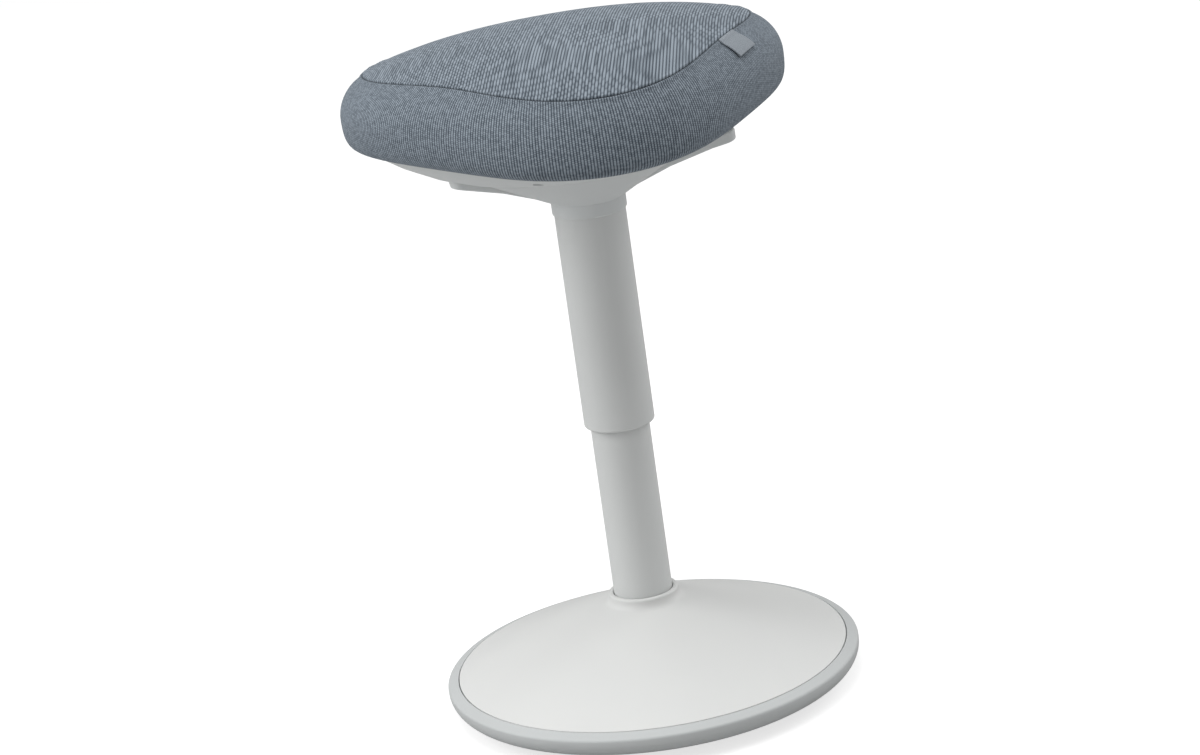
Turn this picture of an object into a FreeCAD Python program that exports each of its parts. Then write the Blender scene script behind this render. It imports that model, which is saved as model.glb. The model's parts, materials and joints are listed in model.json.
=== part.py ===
import FreeCAD, Part
import math
import os

# Wobble stool: a round weighted base on a rocking sole, a telescopic gas column
# and a bean-shaped upholstered seat with a release lever on both sides.
# Lengths are in millimetres. The origin is on the floor under the column,
# +Z points up, the seat's narrow nose points along -Y.

# Base
RING_RADIUS = 177.4
RING_BOTTOM = 10.0
RING_SHOULDER = 27.0
RING_LOWER_ROUND = 13.6
RING_UPPER_ROUND = 2.4
RING_EDGE_ROUND = 0.5
GROOVE_RADIUS = 167.85
GROOVE_GAP = 0.8
GROOVE_HEIGHT = 31.0
PAD_RADIUS = 60.0
SOLE_RADIUS = 163.6
SOLE_THICKNESS = 3.0
TRAY_TOP = 15.0
TRAY_RIM_TOP = 26.3
TRAY_RIM_WALL = 3.0
WEIGHT_RADIUS = 140.0
WEIGHT_THICKNESS = 8.0
WEIGHT_BORE = 15.0

# Base cover
COVER_WALL = 2.8
COVER_SKIRT = 2.6
LIP_RADIUS = 30.0
LIP_BORE = 25.6
LIP_TOP = 91.0
NECK_CORNER = 83.2
NECK_ROUND = 7.0
LIP_ROUND = 1.9
LIP_INNER_ROUND = 1.2
COVER_EDGE_ROUND = 0.6
BOSS_CIRCLE = 120.0
BOSS_RADIUS = 5.5
COVER_SCREWS = 4
SCREW_RADIUS = 2.0
SCREW_HEAD_RADIUS = 3.8
SCREW_HEAD_HEIGHT = 2.6
SCREW_LENGTH = 16.0
SCREW_CLEARANCE = 0.6

# Base flange and its bolts
FLANGE_RADIUS = 62.0
FLANGE_THICKNESS = 5.0
SOCKET_WALL = 4.0
SOCKET_HEIGHT = 30.0
FLANGE_BOLTS = 6
FLANGE_BOLT_CIRCLE = 48.0
FLANGE_BOLT_RADIUS = 4.0
FLANGE_BOLT_HEAD = 7.4
FLANGE_BOLT_HEAD_HEIGHT = 5.3

# Column
TUBE_RADIUS = 25.0
TUBE_WALL = 2.0
TUBE_TOP = 307.0
TUBE_FLOOR_BOTTOM = 34.0
TUBE_FLOOR_THICKNESS = 4.0
TUBE_FLOOR_BORE = 4.6
BUSH_LENGTH = 60.0
BUSH_FLANGE = 2.0
RUNNING_GAP = 0.06
FIT_GAP = 0.05

# Thrust bearing under the rod's shoulder
RACE_RADIUS = 14.0
RACE_THICKNESS = 1.5
BALLS = 10
BALL_RADIUS = 1.45
BALL_CIRCLE = 10.0
BALL_SPACE = 3.0
CAGE_HALF_WIDTH = 2.8
CAGE_THICKNESS = 1.1
BUMP_RADIUS = 11.0
BUMP_HEIGHT = 12.0

# Piston rod
ROD_RADIUS = 5.0
ROD_NECK_RADIUS = 4.0
ROD_GROOVE_RADIUS = 3.2
ROD_BOTTOM = 30.0
ROD_TOP = 280.0
PISTON_HEIGHT = 12.0
PISTON_GAP = 0.06
CLIP_RADIUS = 7.0
CLIP_THICKNESS = 1.0
CLIP_BOTTOM = 31.6
CLIP_OPENING = 5.0
WASHER_RADIUS = 9.0

# Gas cylinder with its tapered head
CYLINDER_RADIUS = 14.0
CYLINDER_WALL = 2.0
CYLINDER_BOTTOM = 195.0
CYLINDER_TOP = 476.0
CYLINDER_END = 8.0
TAPER_START = 430.0
TAPER_RADIUS = 13.2
GLAND_HEIGHT = 14.0
END_LIP = 3.0
BUTTON_RADIUS = 4.0
BUTTON_STAND = 5.0
BUTTON_STEM = 26.0

# Sleeve and collar
SLEEVE_RADIUS = 29.9
SLEEVE_WALL = 2.9
SLEEVE_BOTTOM = 241.5
SLEEVE_TOP = 436.0
SLEEVE_ROUND = 2.0
COLLAR_RADIUS = 31.3
COLLAR_BOTTOM = 428.4
COLLAR_TOP = 440.0
COLLAR_BORE = 22.0
COLLAR_ROUND = 1.1

# Seat bracket
BRACKET_HALF_X = 70.0
BRACKET_HALF_Y = 42.0
BRACKET_CORNER = 14.0
BRACKET_BOTTOM = 474.0
BRACKET_THICKNESS = 3.0
SOCKET_RADIUS = 18.0
SOCKET_BOTTOM = 431.0
BOLT_X = 60.0
BOLT_Y = 26.0
BOLT_RADIUS = 3.0
BOLT_HEAD_RADIUS = 5.6
BOLT_HEAD_HEIGHT = 4.0
NUT_RADIUS = 9.0
NUT_BARREL = 4.6
NUT_FLANGE = 1.5
SPACER_RADIUS = 8.0

# Valve rocker between the lever and the button
PIVOT_Y = 13.0
PIVOT_Z = 482.9
OUTER_ARM = 17.0
PIN_RADIUS = 1.5
HUB_RADIUS = 3.2
NOSE_RADIUS = 1.7
ROCKER_HALF_WIDTH = 5.0
ROCKER_TOP = 1.6
EAR_INNER = 15.0
EAR_THICKNESS = 2.5
EAR_HALF_WIDTH = 4.2
EAR_HEIGHT = 9.2
PIN_END = 1.2
NOSE_GAP = 0.25

# Release lever
LEVER_TRAVEL = 4.0
LEVER_RING_INNER = 21.0
LEVER_RING_OUTER = 27.0
LEVER_RING_BOTTOM = 447.0
LEVER_RING_TOP = 453.0
POST_HALF_WIDTH = 5.0
POST_INNER = 27.8
POST_OUTER = 32.0
ARM_ROUND = 1.6
LEVER_TURN = -5.5
RIGHT_TIP_X = 127.0
LEFT_TIP_X = 112.0
TIP_ROUND = 9.0
TIP_RISE = 0.19
ARM_LOWER = [(24.0, 447.0), (36.0, 443.8), (70.0, 457.0), (106.0, 467.0)]
ARM_THICKNESS = 9.2
ARM_ROOT_HALF_WIDTH = 11.0
ARM_TIP_HALF_WIDTH = 20.0
WINDOW_GAP = 0.8

# Lever housing and under-seat shell
HOUSING_RADIUS = 31.6
HOUSING_X = 88.0
HOUSING_Y = 56.0
HOUSING_TOP = 469.5
HOUSING_RIM = 1.8
SHELL_WALL = 2.8
SHELL_STEP = 2.0
SHELL_DIP = 0.05
SHELL_STEPS = (0.25, 0.5, 0.75)
SHELL_RIM_INSET = 1.0
SHELL_RIM_RISE = 0.6
SHELL_LID = 515.0
SHELL_OPENING = 3.5
RECESS_WALL = 2.0
SHELL_POINTS = 24
SHELL_SCREW_ANGLES = (35.0, 125.0, 235.0, 325.0)
SHELL_SCREW_INSET = 62.0
SHELL_BOSS_RADIUS = 6.0
SHELL_HEAD_TOP = 485.0

# Seat: every size round the plan is a short cosine series of the angle from the nose
SEAT_PLAN = (178.8, -24.5, 0.0, 12.4, -0.6)
SEAT_SHIFT_Y = -5.6
SEAM_HEIGHT = (560.2, 4.9, -5.6, -2.4)
SEAM_INSET = (21.6, 2.9, -4.1)
BULGE_HEIGHT = (519.6, -1.2, -8.2, -1.0)
SEAT_BOTTOM = 489.0
SEAT_CROWN = 583.7
EDGE_INSET = (23.0, 8.0, 9.0)
EDGE_HEIGHT = (497.9, 0.0, -5.5)
LOWER_POWER = 0.63
LOWER_TURNS = (0.0, 30.0, 60.0, 90.0)
UPPER_TURNS = (22.0, 42.0, 60.0)
CROWN_SHARES = (0.86, 0.68, 0.48, 0.28, 0.12)
CROWN_POWER = 1.7
SEAT_ARCS = 12
FABRIC = 1.6
SEAM_SPREAD = 1.4
SPLIT_TOP = 620.0
SPLIT_APEX = 560.0

# Seat pan
PAN_INSET = 50.0
PAN_OVERLAP = 3.0
PAN_THICKNESS = 10.0
POCKET_DEPTH = 7.0
POCKET_HALF_X = 20.0
POCKET_Y = (-10.0, 40.0)

# Blank label tab sewn into the seam
TAB_ANGLES = (57.3, 70.3)
TAB_DROP = 14.6
TAB_OUT = 16.4
TAB_THICKNESS = 1.2
TAB_GAP = 0.4
TAB_REACH = 6.0

UP = FreeCAD.Vector(0, 0, 1)
ORIGIN = FreeCAD.Vector(0, 0, 0)


def save(node, shape):
    """One separate piece of the stool, as one STEP file."""
    shape.exportStep("parts/" + node + ".step")


def turned(*steps):
    """A solid of revolution about the column axis.

    Each step is a (radius, height) corner of the half section. A step that is a
    pair of such points is an arc: through the first of them, to the second.
    """
    start = FreeCAD.Vector(steps[0][0], 0, steps[0][1])
    here = start
    edges = []
    for step in steps[1:] + (steps[0],):
        if isinstance(step[0], tuple):
            middle, end = (FreeCAD.Vector(r, 0, z) for r, z in step)
            edges.append(Part.Arc(here, middle, end).toShape())
        else:
            end = FreeCAD.Vector(step[0], 0, step[1])
            edges.append(Part.LineSegment(here, end).toShape())
        here = end
    return Part.Face(Part.Wire(edges)).revolve(ORIGIN, UP, 360)


def disc(radius, bottom, top, x=0.0, y=0.0):
    return Part.makeCylinder(radius, top - bottom, FreeCAD.Vector(x, y, bottom))


def ring(outer, inner, bottom, top):
    return disc(outer, bottom, top).cut(disc(inner, bottom, top))


def block(low, high):
    size = [b - a for a, b in zip(low, high)]
    return Part.makeBox(*size, FreeCAD.Vector(*low))


def hexagon(across_corners, bottom, top, x, y):
    """Bolt head: a six-sided prism."""
    corners = []
    for k in range(7):
        angle = math.radians(60 * k)
        corner_x = x + across_corners * math.cos(angle)
        corner_y = y + across_corners * math.sin(angle)
        corners.append(FreeCAD.Vector(corner_x, corner_y, bottom))
    return Part.Face(Part.makePolygon(corners)).extrude(UP * (top - bottom))


def rounded(shape, *corners):
    """Rounds circular edges. Each corner is (edge radius, height, rounding)."""
    for radius, height, rounding in corners:
        near = [
            e
            for e in shape.Edges
            if abs(e.BoundBox.XMax - radius) < 0.01
            and abs(e.BoundBox.ZMax - height) < 0.01
            and e.BoundBox.ZLength < 0.01
        ]
        shape = shape.makeFillet(rounding, near)
    return shape


def around(radius, count, offset=0.0):
    for k in range(count):
        angle = math.radians(offset + 360.0 * k / count)
        yield radius * math.cos(angle), radius * math.sin(angle)


def group(solids):
    return Part.makeCompound(solids)


# Base


def sole_height(radius, lift):
    """Height of the rocking curve: flat pad in the middle, then one large arc."""
    run = SOLE_RADIUS - PAD_RADIUS
    rocker_radius = (run**2 + RING_BOTTOM**2) / (2 * RING_BOTTOM)
    out = radius - PAD_RADIUS
    return lift + rocker_radius - math.sqrt(rocker_radius**2 - out**2)


def rocking_curve(lift):
    middle = (SOLE_RADIUS + PAD_RADIUS) / 2
    return [(r, sole_height(r, lift)) for r in (PAD_RADIUS, middle, SOLE_RADIUS)]


def base_sole():
    """Rubber skin that meets the floor."""
    low = rocking_curve(0.0)
    high = rocking_curve(SOLE_THICKNESS)
    return turned(
        (0.0, 0.0), low[0], (low[1], low[2]), high[2], (high[1], high[0]), (0.0, SOLE_THICKNESS)
    )


def base_tray():
    """Moulded tray that gives the sole its curve and holds the weight."""
    low = rocking_curve(SOLE_THICKNESS)
    inner = SOLE_RADIUS - TRAY_RIM_WALL
    return turned(
        (0.0, SOLE_THICKNESS),
        low[0],
        (low[1], low[2]),
        (SOLE_RADIUS, TRAY_RIM_TOP),
        (inner, TRAY_RIM_TOP),
        (inner, TRAY_TOP),
        (0.0, TRAY_TOP),
    )


def base_ring():
    """Soft outer rim, proud of the tray, with a ledge for the cover's edge."""
    body = turned(
        (SOLE_RADIUS, RING_BOTTOM),
        (RING_RADIUS, RING_BOTTOM),
        (RING_RADIUS, RING_SHOULDER),
        (GROOVE_RADIUS, GROOVE_HEIGHT),
        (GROOVE_RADIUS, TRAY_RIM_TOP),
        (SOLE_RADIUS, TRAY_RIM_TOP),
    )
    return rounded(
        body,
        (RING_RADIUS, RING_BOTTOM, RING_LOWER_ROUND),
        (RING_RADIUS, RING_SHOULDER, RING_UPPER_ROUND),
        (GROOVE_RADIUS, GROOVE_HEIGHT, RING_EDGE_ROUND),
    )


def weight_top():
    return TRAY_TOP + WEIGHT_THICKNESS


def base_weight():
    """Cast disc that keeps the stool upright, bored for its screws and bolts."""
    body = ring(WEIGHT_RADIUS, WEIGHT_BORE, TRAY_TOP, weight_top())
    for x, y in around(BOSS_CIRCLE, COVER_SCREWS, 45.0):
        body = body.cut(disc(SCREW_RADIUS + SCREW_CLEARANCE, TRAY_TOP, weight_top(), x, y))
        body = body.cut(disc(SCREW_HEAD_RADIUS + SCREW_CLEARANCE, TRAY_TOP, screw_seat(), x, y))
    for x, y in around(FLANGE_BOLT_CIRCLE, FLANGE_BOLTS):
        body = body.cut(disc(FLANGE_BOLT_RADIUS, TRAY_TOP, weight_top(), x, y))
    return body


def cover_height(radius):
    """Outer face of the cover's straight cone."""
    edge = GROOVE_RADIUS - GROOVE_GAP
    slope = (NECK_CORNER - GROOVE_HEIGHT) / (edge - LIP_RADIUS)
    return GROOVE_HEIGHT + slope * (edge - radius)


def cover_outside():
    """Outer form of the cover, filled, open for the column."""
    edge = GROOVE_RADIUS - GROOVE_GAP
    body = turned(
        (edge, TRAY_RIM_TOP),
        (edge, GROOVE_HEIGHT),
        (LIP_RADIUS, NECK_CORNER),
        (LIP_RADIUS, LIP_TOP),
        (LIP_BORE, LIP_TOP),
        (LIP_BORE, TRAY_RIM_TOP),
    )
    return rounded(
        body,
        (edge, GROOVE_HEIGHT, COVER_EDGE_ROUND),
        (LIP_RADIUS, NECK_CORNER, NECK_ROUND),
        (LIP_RADIUS, LIP_TOP, LIP_ROUND),
        (LIP_BORE, LIP_TOP, LIP_INNER_ROUND),
    )


def base_cover():
    """Thin shell from the ring's groove up to the lip round the column."""
    skirt = GROOVE_RADIUS - GROOVE_GAP - COVER_SKIRT
    hollow = turned(
        (0.0, TRAY_RIM_TOP),
        (skirt, TRAY_RIM_TOP),
        (skirt, cover_height(skirt) - COVER_WALL),
        (LIP_BORE, cover_height(LIP_BORE) - COVER_WALL),
        (0.0, cover_height(LIP_BORE) - COVER_WALL),
    )
    outside = cover_outside()
    body = outside.cut(hollow)
    for x, y in around(BOSS_CIRCLE, COVER_SCREWS, 45.0):
        boss = disc(BOSS_RADIUS, TRAY_RIM_TOP, LIP_TOP, x, y).common(outside)
        body = body.fuse(boss)
        body = body.cut(disc(SCREW_RADIUS, TRAY_RIM_TOP, screw_seat() + SCREW_LENGTH, x, y))
    return body


def screw_seat():
    return TRAY_TOP + SCREW_HEAD_HEIGHT + SCREW_CLEARANCE


def cover_screws():
    """Screws that go up through the weight into the cover's bosses."""
    solids = []
    seat = screw_seat()
    for x, y in around(BOSS_CIRCLE, COVER_SCREWS, 45.0):
        head = disc(SCREW_HEAD_RADIUS, seat - SCREW_HEAD_HEIGHT, seat, x, y)
        solids.append(head.fuse(disc(SCREW_RADIUS, seat, seat + SCREW_LENGTH, x, y)))
    return group(solids)


def flange_top():
    return weight_top() + FLANGE_THICKNESS


def base_flange():
    """Steel plate with the short socket that the lower tube stands in."""
    plate = ring(FLANGE_RADIUS, WEIGHT_BORE, weight_top(), flange_top())
    inner = TUBE_RADIUS + FIT_GAP
    socket = ring(inner + SOCKET_WALL, inner, flange_top(), flange_top() + SOCKET_HEIGHT)
    body = plate.fuse(socket)
    for x, y in around(FLANGE_BOLT_CIRCLE, FLANGE_BOLTS):
        body = body.cut(disc(FLANGE_BOLT_RADIUS, weight_top(), flange_top(), x, y))
    return body


def flange_bolts():
    solids = []
    for x, y in around(FLANGE_BOLT_CIRCLE, FLANGE_BOLTS):
        shank = disc(FLANGE_BOLT_RADIUS, TRAY_TOP, flange_top(), x, y)
        head = hexagon(FLANGE_BOLT_HEAD, flange_top(), flange_top() + FLANGE_BOLT_HEAD_HEIGHT, x, y)
        solids.append(shank.fuse(head))
    return group(solids)


# Column


def lower_tube():
    return ring(TUBE_RADIUS, TUBE_RADIUS - TUBE_WALL, flange_top(), TUBE_TOP)


def floor_top():
    return TUBE_FLOOR_BOTTOM + TUBE_FLOOR_THICKNESS


def tube_floor():
    """Steel disc across the tube that carries the whole gas column."""
    return ring(TUBE_RADIUS - TUBE_WALL, TUBE_FLOOR_BORE, TUBE_FLOOR_BOTTOM, floor_top())


def guide_bush():
    """Plastic bush pressed into the tube's mouth, which guides the cylinder."""
    bore = CYLINDER_RADIUS + RUNNING_GAP
    barrel = ring(TUBE_RADIUS - TUBE_WALL, bore, TUBE_TOP - BUSH_LENGTH, TUBE_TOP)
    return barrel.fuse(ring(TUBE_RADIUS, bore, TUBE_TOP, TUBE_TOP + BUSH_FLANGE))


def race_bottom():
    """Underside of the upper race."""
    return floor_top() + RACE_THICKNESS + BALL_SPACE


def lower_race():
    return ring(RACE_RADIUS, TUBE_FLOOR_BORE, floor_top(), floor_top() + RACE_THICKNESS)


def upper_race():
    inner = ROD_NECK_RADIUS + FIT_GAP
    return ring(RACE_RADIUS, inner, race_bottom(), race_bottom() + RACE_THICKNESS)


def bearing_balls():
    centre = floor_top() + RACE_THICKNESS + BALL_RADIUS
    spots = around(BALL_CIRCLE, BALLS)
    return group([Part.makeSphere(BALL_RADIUS, FreeCAD.Vector(x, y, centre)) for x, y in spots])


def bearing_cage():
    middle = floor_top() + RACE_THICKNESS + BALL_RADIUS
    low = middle - CAGE_THICKNESS / 2
    high = middle + CAGE_THICKNESS / 2
    body = ring(BALL_CIRCLE + CAGE_HALF_WIDTH, BALL_CIRCLE - CAGE_HALF_WIDTH, low, high)
    for x, y in around(BALL_CIRCLE, BALLS):
        body = body.cut(disc(BALL_RADIUS + FIT_GAP, low, high, x, y))
    return body


def rod_shoulder():
    return race_bottom() + RACE_THICKNESS


def piston_rod():
    """Rod that stands still while the cylinder slides on it."""
    neck = disc(ROD_NECK_RADIUS, ROD_BOTTOM, rod_shoulder())
    groove = ring(ROD_NECK_RADIUS, ROD_GROOVE_RADIUS, CLIP_BOTTOM, CLIP_BOTTOM + CLIP_THICKNESS)
    shaft = disc(ROD_RADIUS, rod_shoulder(), ROD_TOP - PISTON_HEIGHT)
    stub = disc(ROD_NECK_RADIUS, ROD_TOP - PISTON_HEIGHT, ROD_TOP)
    return neck.cut(groove).fuse(shaft).fuse(stub)


def piston():
    outer = CYLINDER_RADIUS - CYLINDER_WALL - PISTON_GAP
    return ring(outer, ROD_NECK_RADIUS, ROD_TOP - PISTON_HEIGHT, ROD_TOP)


def bump_stop():
    """Rubber ring that softens the lowest position."""
    return ring(BUMP_RADIUS, ROD_RADIUS, rod_shoulder(), rod_shoulder() + BUMP_HEIGHT)


def rod_clip():
    """Spring clip in the rod's groove, open at one side."""
    body = ring(CLIP_RADIUS, ROD_GROOVE_RADIUS, CLIP_BOTTOM, CLIP_BOTTOM + CLIP_THICKNESS)
    low = (0.0, -CLIP_OPENING / 2, CLIP_BOTTOM)
    high = (CLIP_RADIUS + 1, CLIP_OPENING / 2, CLIP_BOTTOM + CLIP_THICKNESS)
    return body.cut(block(low, high))


def clip_washer():
    low = CLIP_BOTTOM + CLIP_THICKNESS
    return ring(WASHER_RADIUS, ROD_NECK_RADIUS + FIT_GAP, low, low + CLIP_THICKNESS)


def gas_cylinder():
    """Pressure tube with a rolled lower end and a tapered, closed head."""
    inner = CYLINDER_RADIUS - CYLINDER_WALL
    mouth = inner - END_LIP
    return turned(
        (mouth, CYLINDER_BOTTOM),
        (CYLINDER_RADIUS, CYLINDER_BOTTOM),
        (CYLINDER_RADIUS, TAPER_START),
        (TAPER_RADIUS, CYLINDER_TOP),
        (BUTTON_RADIUS + RUNNING_GAP, CYLINDER_TOP),
        (BUTTON_RADIUS + RUNNING_GAP, CYLINDER_TOP - CYLINDER_END),
        (inner - END_LIP / 2, CYLINDER_TOP - CYLINDER_END),
        (inner - END_LIP / 2, TAPER_START),
        (inner, TAPER_START),
        (inner, CYLINDER_BOTTOM + END_LIP),
        (mouth, CYLINDER_BOTTOM + END_LIP),
    )


def cylinder_gland():
    """Seal and guide that the rod slides through."""
    low = CYLINDER_BOTTOM + END_LIP
    inner = CYLINDER_RADIUS - CYLINDER_WALL
    return ring(inner, ROD_RADIUS + RUNNING_GAP, low, low + GLAND_HEIGHT)


def valve_button():
    """Pin on top of the cylinder: pushed down, it lets the gas through."""
    top = CYLINDER_TOP + BUTTON_STAND
    return rounded(
        disc(BUTTON_RADIUS, CYLINDER_TOP - BUTTON_STEM, top), (BUTTON_RADIUS, top, LIP_INNER_ROUND)
    )


def sleeve():
    """Outer cover tube that slides down over the lower tube."""
    body = ring(SLEEVE_RADIUS, SLEEVE_RADIUS - SLEEVE_WALL, SLEEVE_BOTTOM, SLEEVE_TOP)
    return rounded(body, (SLEEVE_RADIUS, SLEEVE_BOTTOM, SLEEVE_ROUND))


def sleeve_collar():
    """Cap ring that closes the sleeve's upper end."""
    body = disc(COLLAR_RADIUS, COLLAR_BOTTOM, COLLAR_TOP)
    body = rounded(body, (COLLAR_RADIUS, COLLAR_BOTTOM, COLLAR_ROUND))
    body = body.cut(disc(SLEEVE_RADIUS, COLLAR_BOTTOM, SLEEVE_TOP))
    return body.cut(disc(COLLAR_BORE, SLEEVE_TOP, COLLAR_TOP))


# Seat bracket, valve rocker and release lever


def bracket_top():
    return BRACKET_BOTTOM + BRACKET_THICKNESS


def taper_radius(height):
    share = (height - TAPER_START) / (CYLINDER_TOP - TAPER_START)
    return CYLINDER_RADIUS + share * (TAPER_RADIUS - CYLINDER_RADIUS)


def bolt_spots():
    for x in (-BOLT_X, BOLT_X):
        for y in (-BOLT_Y, BOLT_Y):
            yield x, y


def round_plate(half_x, half_y, corner, bottom, top):
    body = block((-half_x, -half_y, bottom), (half_x, half_y, top))
    upright = [e for e in body.Edges if e.BoundBox.ZLength > (top - bottom) / 2]
    return body.makeFillet(corner, upright)


def seat_bracket():
    """Pressed plate with the tapered socket and the rocker's two ears."""
    plate = round_plate(
        BRACKET_HALF_X, BRACKET_HALF_Y, BRACKET_CORNER, BRACKET_BOTTOM, bracket_top()
    )
    body = plate.fuse(disc(SOCKET_RADIUS, SOCKET_BOTTOM, BRACKET_BOTTOM))
    bore = turned(
        (0.0, SOCKET_BOTTOM),
        (taper_radius(SOCKET_BOTTOM), SOCKET_BOTTOM),
        (taper_radius(bracket_top()), bracket_top()),
        (0.0, bracket_top()),
    )
    body = body.cut(bore)
    window_low = (-POST_HALF_WIDTH - 1, POST_INNER - 1, BRACKET_BOTTOM)
    window_high = (POST_HALF_WIDTH + 1, POST_OUTER + 1, bracket_top())
    body = body.cut(block(window_low, window_high))
    for side in (-1, 1):
        inner = side * EAR_INNER
        outer = side * (EAR_INNER + EAR_THICKNESS)
        low = (min(inner, outer), PIVOT_Y - EAR_HALF_WIDTH, bracket_top())
        high = (max(inner, outer), PIVOT_Y + EAR_HALF_WIDTH, bracket_top() + EAR_HEIGHT)
        body = body.fuse(block(low, high))
    for x, y in bolt_spots():
        body = body.cut(disc(BOLT_RADIUS, BRACKET_BOTTOM, bracket_top(), x, y))
    return body.cut(across(PIN_RADIUS, EAR_INNER + EAR_THICKNESS + PIN_END, PIVOT_Y, PIVOT_Z))


def across(radius, half_length, y, z):
    """A round bar along X."""
    start = FreeCAD.Vector(-half_length, y, z)
    return Part.makeCylinder(radius, 2 * half_length, start, FreeCAD.Vector(1, 0, 0))


def rocker_pin():
    return across(PIN_RADIUS, EAR_INNER + EAR_THICKNESS + PIN_END, PIVOT_Y, PIVOT_Z)


def valve_rocker():
    """Two-armed lever: its outer nose is lifted, its inner nose presses the button."""
    outer_y = PIVOT_Y + OUTER_ARM
    body = across(HUB_RADIUS, EAR_INNER - FIT_GAP - NOSE_GAP, PIVOT_Y, PIVOT_Z)
    low = (-ROCKER_HALF_WIDTH, 0.0, PIVOT_Z)
    high = (ROCKER_HALF_WIDTH, outer_y, PIVOT_Z + ROCKER_TOP)
    body = body.fuse(block(low, high))
    for y in (0.0, outer_y):
        body = body.fuse(across(NOSE_RADIUS, ROCKER_HALF_WIDTH, y, PIVOT_Z))
    return body.cut(across(PIN_RADIUS + RUNNING_GAP, EAR_INNER, PIVOT_Y, PIVOT_Z))


def pan_bolts():
    """Bolts up through the bracket and the pan's spacers."""
    solids = []
    for x, y in bolt_spots():
        head = hexagon(BOLT_HEAD_RADIUS, BRACKET_BOTTOM - BOLT_HEAD_HEIGHT, BRACKET_BOTTOM, x, y)
        solids.append(head.fuse(disc(BOLT_RADIUS, BRACKET_BOTTOM, pan_top() - NUT_FLANGE, x, y)))
    return group(solids)


def tee_nuts():
    """Flanged nuts let into the top of the pan."""
    solids = []
    for x, y in bolt_spots():
        flange = disc(NUT_RADIUS, pan_top() - NUT_FLANGE, pan_top(), x, y)
        barrel = disc(NUT_BARREL, SEAT_BOTTOM, pan_top() - NUT_FLANGE, x, y)
        barrel = barrel.cut(disc(BOLT_RADIUS, SEAT_BOTTOM, pan_top() - NUT_FLANGE, x, y))
        solids.append(flange.fuse(barrel))
    return group(solids)


def arm_outline(tip_x, gap, lift):
    """Side view of one lever arm on +X: it rises and ends in a flat paddle."""
    last_x, last_z = ARM_LOWER[-1]
    underside = ARM_LOWER + [(tip_x, last_z + TIP_RISE * (tip_x - last_x))]
    lower = [(x, z - gap) for x, z in underside]
    upper = [(x, z + ARM_THICKNESS + gap + lift) for x, z in underside[1:]]
    root_top = LEVER_RING_TOP + gap + lift
    upper = [(ARM_LOWER[0][0], root_top)] + upper
    outline = lower + upper[::-1]
    corners = [FreeCAD.Vector(x, 0, z) for x, z in outline + outline[:1]]
    return Part.Face(Part.makePolygon(corners))


def arm_plan(tip_x, gap):
    """Plan view of the same arm: a wedge with a round-cornered tip."""
    root = ARM_ROOT_HALF_WIDTH + gap
    tip = ARM_TIP_HALF_WIDTH + gap
    start = ARM_LOWER[0][0]
    bottom = LEVER_RING_BOTTOM - LEVER_RING_OUTER
    outline = [(start, -root), (tip_x + gap, -tip), (tip_x + gap, tip), (start, root)]
    corners = [FreeCAD.Vector(x, y, bottom) for x, y in outline + outline[:1]]
    body = Part.Face(Part.makePolygon(corners)).extrude(UP * HOUSING_X)
    at_tip = [
        e for e in body.Edges if e.BoundBox.XMin > tip_x - 1 and e.BoundBox.ZLength > TIP_ROUND
    ]
    return body.makeFillet(TIP_ROUND, at_tip)


def arm(tip_x, gap, lift):
    width = 2 * (ARM_TIP_HALF_WIDTH + gap + 1)
    start = FreeCAD.Vector(0, -width / 2, 0)
    profile = arm_outline(tip_x, gap, lift)
    profile.translate(start)
    side = profile.extrude(FreeCAD.Vector(0, width, 0))
    if gap > 0:
        reach = FreeCAD.Vector(gap, 0, 0)
        moved = side.copy()
        moved.translate(reach)
        side = side.fuse(moved)
    return side.common(arm_plan(tip_x, gap))


def lever_arm(tip_x):
    body = arm(tip_x, 0.0, 0.0)
    rims = []
    for edge in body.Edges:
        box = edge.BoundBox
        beyond_root = box.XMax > ARM_LOWER[1][0] + 1
        fold = box.XLength < 0.01 and box.XMax < tip_x - TIP_ROUND
        upright = box.ZLength > ARM_THICKNESS - 1 and box.XMax > tip_x - 2 * TIP_ROUND
        if beyond_root and not fold and not upright:
            rims.append(edge)
    return body.makeFillet(ARM_ROUND, rims)


def both_sides(shape_of):
    """The right and the left arm's shape, turned into place and joined."""
    right = shape_of(RIGHT_TIP_X)
    right.rotate(ORIGIN, UP, LEVER_TURN)
    left = shape_of(LEFT_TIP_X)
    left.rotate(ORIGIN, UP, LEVER_TURN + 180)
    return right.fuse(left)


def release_lever():
    """One piece: a ring round the socket, an arm on each side and the push post."""
    body = ring(LEVER_RING_OUTER, LEVER_RING_INNER, LEVER_RING_BOTTOM, LEVER_RING_TOP)
    tongue_low = (-POST_HALF_WIDTH, LEVER_RING_OUTER - 2, LEVER_RING_BOTTOM)
    body = body.fuse(block(tongue_low, (POST_HALF_WIDTH, POST_OUTER, LEVER_RING_TOP)))
    post_top = PIVOT_Z - NOSE_RADIUS - NOSE_GAP
    post_low = (-POST_HALF_WIDTH, POST_INNER, LEVER_RING_BOTTOM)
    body = body.fuse(block(post_low, (POST_HALF_WIDTH, POST_OUTER, post_top)))
    return body.fuse(both_sides(lever_arm)).removeSplitter()


# Seat


def series(terms, angle):
    return sum(size * math.cos(order * angle) for order, size in enumerate(terms))


def seat_point(angle, inset, height, share=1.0):
    """A point of the seat's plan, measured from the nose."""
    radius = share * (series(SEAT_PLAN, angle) - inset)
    return FreeCAD.Vector(radius * math.sin(angle), SEAT_SHIFT_Y - radius * math.cos(angle), height)


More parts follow.
